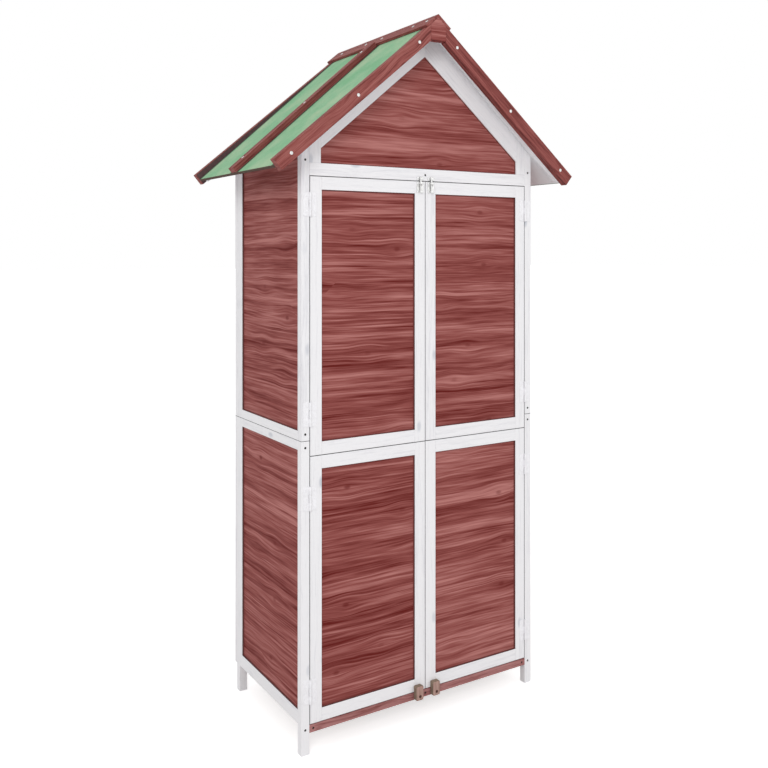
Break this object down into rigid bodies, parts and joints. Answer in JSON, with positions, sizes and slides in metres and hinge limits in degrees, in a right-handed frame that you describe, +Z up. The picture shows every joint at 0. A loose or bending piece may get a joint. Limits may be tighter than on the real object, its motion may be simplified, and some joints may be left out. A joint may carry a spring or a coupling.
{
  "type": "tool shed",
  "caption": "Tall narrow wooden tool shed on legs, with a pitched felt roof, framed plank walls and hinged door leaves closed by barrel bolts and turn buttons.",
  "frame": {"origin": "on the ground, under the middle of the roof", "axes": "+Z up, +Y from the doors to the back, +X to the right as seen from the front"},
  "size_m": [0.958, 0.555, 1.8932],
  "materials": {
    "white_paint": "white painted softwood",
    "red_stain": "red-brown stained boards with a bold horizontal grain",
    "trim_stain": "red-brown stained softwood trim",
    "bare_wood": "unpainted softwood",
    "roofing_felt": "pale green mineral-surfaced roofing felt",
    "zinc": "zinc-plated steel",
    "black_steel": "black phosphated steel",
    "white_metal": "white painted steel"
  },
  "bodies": {
    "cabinet": {"front_posts_lower": "white_paint", "back_posts_lower": "white_paint", "front_posts_upper": "white_paint", "back_posts_upper": "white_paint", "side_rails_lower": "white_paint", "side_rails_upper": "white_paint", "back_frame_lower": "white_paint", "back_frame_upper": "white_paint", "front_header": "white_paint", "back_header": "white_paint", "door_stop": "white_paint", "front_gable_frame": "white_paint", "back_gable_frame": "white_paint", "roof_boards": "white_paint", "verge_battens": "white_paint", "side_planks_lower": "red_stain", "side_planks_upper": "red_stain", "back_planks_lower": "red_stain", "back_planks_upper": "red_stain", "gable_planks": "red_stain", "apex_blocks": "red_stain", "front_sill": "trim_stain", "back_sill": "trim_stain", "bargeboards": "trim_stain", "roof_battens": "trim_stain", "ridge_cap": "trim_stain", "floor_bearers": "bare_wood", "floor_boards": "bare_wood", "frame_dowels": "bare_wood", "roof_screws": "zinc", "bolt_keepers": "zinc", "frame_screws": "black_steel", "button_screws": "black_steel", "hinge_post_plates": "white_metal", "hinge_pins": "white_metal", "hardware_screws": "white_metal", "roofing_felt": "roofing_felt"},
    "door_upper_left": {"door_frame_upper_left": "white_paint", "door_planks_upper_left": "red_stain", "hinge_plates_upper_left": "white_metal", "door_screws_upper_left": "white_metal", "bolt_base_left": "zinc"},
    "door_upper_right": {"door_frame_upper_right": "white_paint", "door_planks_upper_right": "red_stain", "hinge_plates_upper_right": "white_metal", "door_screws_upper_right": "white_metal", "bolt_base_right": "zinc"},
    "door_lower_left": {"door_frame_lower_left": "white_paint", "door_planks_lower_left": "red_stain", "hinge_plates_lower_left": "white_metal", "door_screws_lower_left": "white_metal"},
    "door_lower_right": {"door_frame_lower_right": "white_paint", "door_planks_lower_right": "red_stain", "hinge_plates_lower_right": "white_metal", "door_screws_lower_right": "white_metal"},
    "bolt_left": {"bolt_rod_left": "zinc"},
    "bolt_right": {"bolt_rod_right": "zinc"},
    "turn_button_left": {"button_left": "bare_wood"},
    "turn_button_right": {"button_right": "bare_wood"}
  },
  "joints": [
    {"name": "door_upper_left_swing", "type": "hinge", "parent": "cabinet", "child": "door_upper_left", "pos_m": [-0.351, -0.2163, 1.11675], "axis": [0, 0, -1], "range_deg": [0, 180]},
    {"name": "door_upper_right_swing", "type": "hinge", "parent": "cabinet", "child": "door_upper_right", "pos_m": [0.351, -0.2163, 1.11675], "axis": [0, 0, 1], "range_deg": [0, 180]},
    {"name": "door_lower_left_swing", "type": "hinge", "parent": "cabinet", "child": "door_lower_left", "pos_m": [-0.351, -0.2163, 0.39975], "axis": [0, 0, -1], "range_deg": [0, 180]},
    {"name": "door_lower_right_swing", "type": "hinge", "parent": "cabinet", "child": "door_lower_right", "pos_m": [0.351, -0.2163, 0.39975], "axis": [0, 0, 1], "range_deg": [0, 180]},
    {"name": "bolt_left_slide", "type": "slide", "parent": "door_upper_left", "child": "bolt_left", "axis": [0, 0, 1], "range_m": [-0.012, 0]},
    {"name": "bolt_right_slide", "type": "slide", "parent": "door_upper_right", "child": "bolt_right", "axis": [0, 0, 1], "range_m": [-0.012, 0]},
    {"name": "turn_button_left_turn", "type": "hinge", "parent": "cabinet", "child": "turn_button_left", "pos_m": [-0.027, -0.2208, 0.067], "axis": [0, -1, 0], "continuous": true},
    {"name": "turn_button_right_turn", "type": "hinge", "parent": "cabinet", "child": "turn_button_right", "pos_m": [0.027, -0.2208, 0.067], "axis": [0, -1, 0], "continuous": true}
  ]
}
